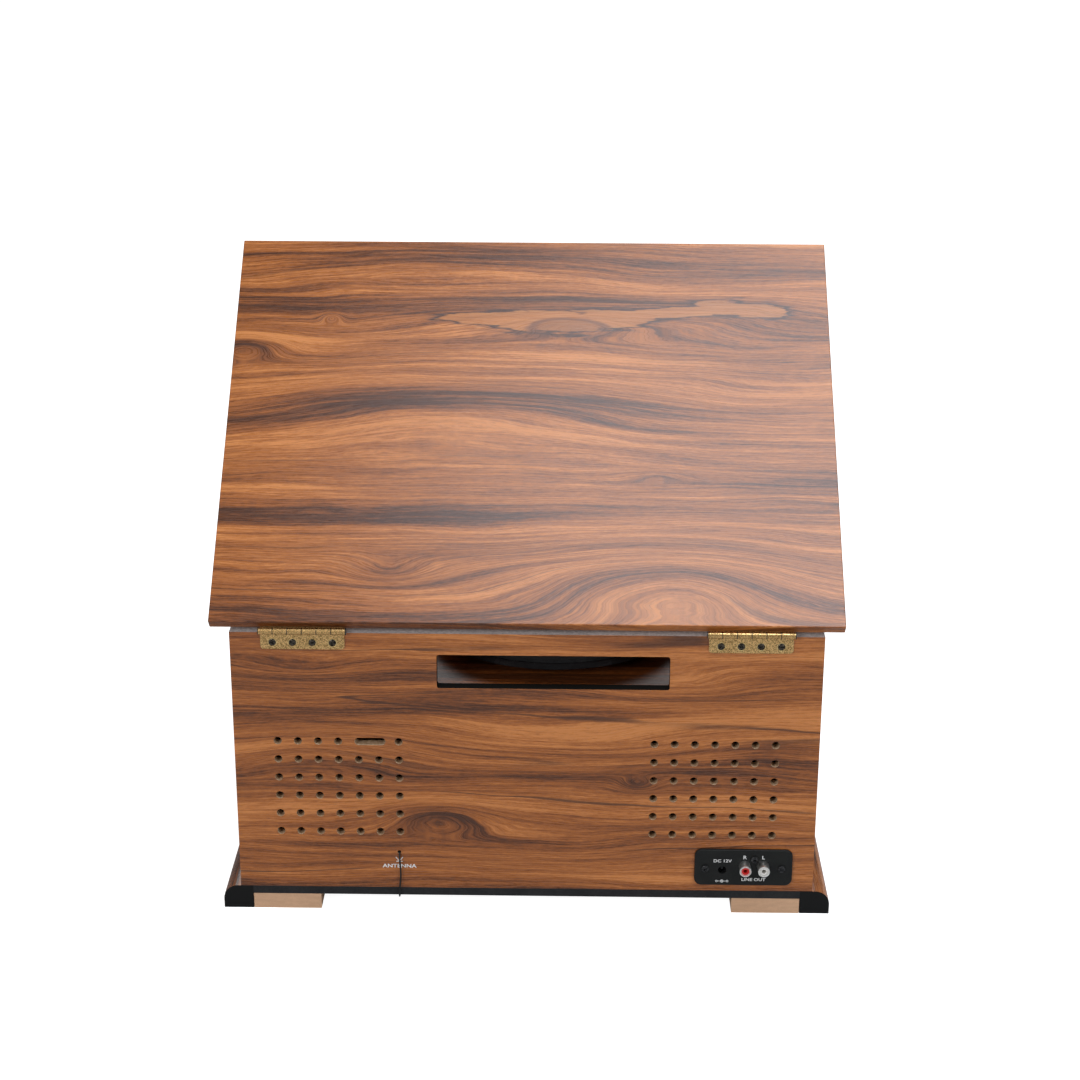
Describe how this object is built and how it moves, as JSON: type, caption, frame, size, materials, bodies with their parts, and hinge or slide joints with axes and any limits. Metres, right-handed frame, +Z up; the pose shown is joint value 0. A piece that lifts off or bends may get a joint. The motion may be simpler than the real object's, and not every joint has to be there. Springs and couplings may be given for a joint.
{
  "type": "turntable record player",
  "caption": "Record player in a wooden cabinet: rear-hinged lid on a sliding stay, tonearm deck, front speakers and dial, rear sockets, vents and a slot that large records overhang through.",
  "frame": {"origin": "on the resting surface, under the middle of the whole player", "axes": "+Z up, the front with the dial faces -Y and the back with the sockets faces +Y"},
  "size_m": [0.4634, 0.3556, 0.4606],
  "materials": {
    "wood_foil": "satin wood-grain foil on MDF",
    "raw_fibreboard": "raw sawn MDF",
    "black_board": "matte black painted board",
    "antique_brass": "antiqued brass plating",
    "dark_screw": "dark bronze screws",
    "black_plastic": "fine satin moulding",
    "black_screw": "blackened steel",
    "socket_red": "red insulated phono socket",
    "socket_white": "white insulated phono socket",
    "steel": "turned steel",
    "aluminium": "cast and turned",
    "rubber": "matte",
    "felt": "felt mat",
    "grille_cloth": "woven cloth",
    "paper_cone": "pressed paper",
    "dial_card": "printed card",
    "dial_glass": "clear",
    "pointer_red": "red",
    "brass_bright": "polished",
    "board_green": "solder mask",
    "component_metal": "mixed cans",
    "wire_black": "black insulated wire"
  },
  "bodies": {
    "cabinet": {"rear_panel": "wood_foil", "left_side_panel": "wood_foil", "right_side_panel": "wood_foil", "front_baffle": "wood_foil", "base_board": "black_board", "left_moulding": "wood_foil", "right_moulding": "wood_foil", "front_moulding": "wood_foil", "foot_blocks": "raw_fibreboard", "deck_board": "wood_foil", "deck_battens": "raw_fibreboard", "jack_plate": "black_plastic", "phono_socket_right": "socket_red", "phono_socket_left": "socket_white", "power_socket": "black_plastic", "jack_plate_screws": "black_screw", "hinge_cabinet_leaves": "antique_brass", "hinge_pins": "steel", "hinge_cabinet_screws": "dark_screw", "stay_track": "brass_bright", "platter_bearing": "brass_bright", "motor": "steel", "drive_belt": "rubber", "tonearm_base": "black_plastic", "arm_rest": "black_plastic", "switch_plate": "black_plastic", "speaker_baskets": "steel", "speaker_cones": "paper_cone", "speaker_grilles": "grille_cloth", "dial_bezel": "brass_bright", "dial_window": "dial_glass", "dial_scale": "dial_card", "control_bodies": "component_metal", "circuit_board": "board_green", "board_components": "component_metal", "antenna_wire": "wire_black", "antenna_coil": "wire_black"},
    "lid": {"lid_panel": "wood_foil", "hinge_lid_leaves": "antique_brass", "hinge_lid_screws": "dark_screw", "lid_bumpers": "rubber", "stay_bracket": "brass_bright"},
    "stay": {"stay_bar": "brass_bright", "stay_roller": "black_plastic"},
    "platter": {"platter": "black_plastic", "platter_spindle": "steel", "slip_mat": "felt"},
    "pulley": {"motor_pulley": "aluminium"},
    "arm_yoke": {"tonearm_yoke": "aluminium"},
    "tonearm": {"tonearm_tube": "aluminium", "counterweight": "steel", "headshell": "black_plastic", "cartridge": "socket_red"},
    "clip": {"arm_clip": "black_plastic"},
    "speed_button": {"speed_slider": "aluminium"},
    "stop_button": {"auto_stop_slider": "aluminium"},
    "volume": {"volume_knob": "black_plastic"},
    "function": {"function_knob": "black_plastic"},
    "tuning": {"tuning_knob": "black_plastic"},
    "pointer": {"dial_pointer": "pointer_red"}
  },
  "joints": [
    {"name": "lid_hinge", "type": "hinge", "parent": "cabinet", "child": "lid", "pos_m": [0, 0.16875, 0.231], "axis": [-1, 0, 0], "range_deg": [-40.55, 27.45]},
    {"name": "stay_pivot", "type": "hinge", "parent": "lid", "child": "stay", "pos_m": [0.20195, 0.07981, 0.29573], "axis": [-1, 0, 0], "range_deg": [-55.2, 81.4]},
    {"name": "platter_spin", "type": "hinge", "parent": "cabinet", "child": "platter", "pos_m": [-0.0196, 0.03975, 0.182], "axis": [0, 0, -1], "continuous": true},
    {"name": "pulley_spin", "type": "hinge", "parent": "cabinet", "child": "pulley", "pos_m": [-0.08041, -0.02106, 0.182], "axis": [0, 0, -1], "continuous": true},
    {"name": "tonearm_swing", "type": "hinge", "parent": "cabinet", "child": "arm_yoke", "pos_m": [0.158, 0.09425, 0.182], "axis": [0, 0, -1], "range_deg": [0, 58]},
    {"name": "tonearm_lift", "type": "hinge", "parent": "arm_yoke", "child": "tonearm", "pos_m": [0.158, 0.09425, 0.2105], "axis": [-1, 0, 0], "range_deg": [0, 15]},
    {"name": "arm_clip_hinge", "type": "hinge", "parent": "cabinet", "child": "clip", "pos_m": [0.164, -0.02375, 0.2158], "axis": [0, -1, 0], "range_deg": [0, 175]},
    {"name": "speed_slide", "type": "slide", "parent": "cabinet", "child": "speed_button", "axis": [1, 0, 0], "range_m": [0, 0.016]},
    {"name": "auto_stop_slide", "type": "slide", "parent": "cabinet", "child": "stop_button", "axis": [1, 0, 0], "range_m": [0, 0.008]},
    {"name": "volume_turn", "type": "hinge", "parent": "cabinet", "child": "volume", "pos_m": [-0.058, -0.17175, 0.077], "axis": [0, 1, 0], "range_deg": [0, 300]},
    {"name": "function_turn", "type": "hinge", "parent": "cabinet", "child": "function", "pos_m": [0, -0.17175, 0.077], "axis": [0, 1, 0], "range_deg": [0, 90]},
    {"name": "tuning_turn", "type": "hinge", "parent": "cabinet", "child": "tuning", "pos_m": [0.058, -0.17175, 0.077], "axis": [0, 1, 0], "range_deg": [-150, 150]},
    {"name": "pointer_slide", "type": "slide", "parent": "cabinet", "child": "pointer", "axis": [1, 0, 0], "range_m": [-0.052, 0.052]}
  ],
  "couplings": [
    {"joint": "stay_pivot", "follows": "lid_hinge", "ratio": -2},
    {"joint": "pulley_spin", "follows": "platter_spin", "ratio": 14.2},
    {"joint": "pointer_slide", "follows": "tuning_turn", "m_per_rad": 0.0195}
  ]
}
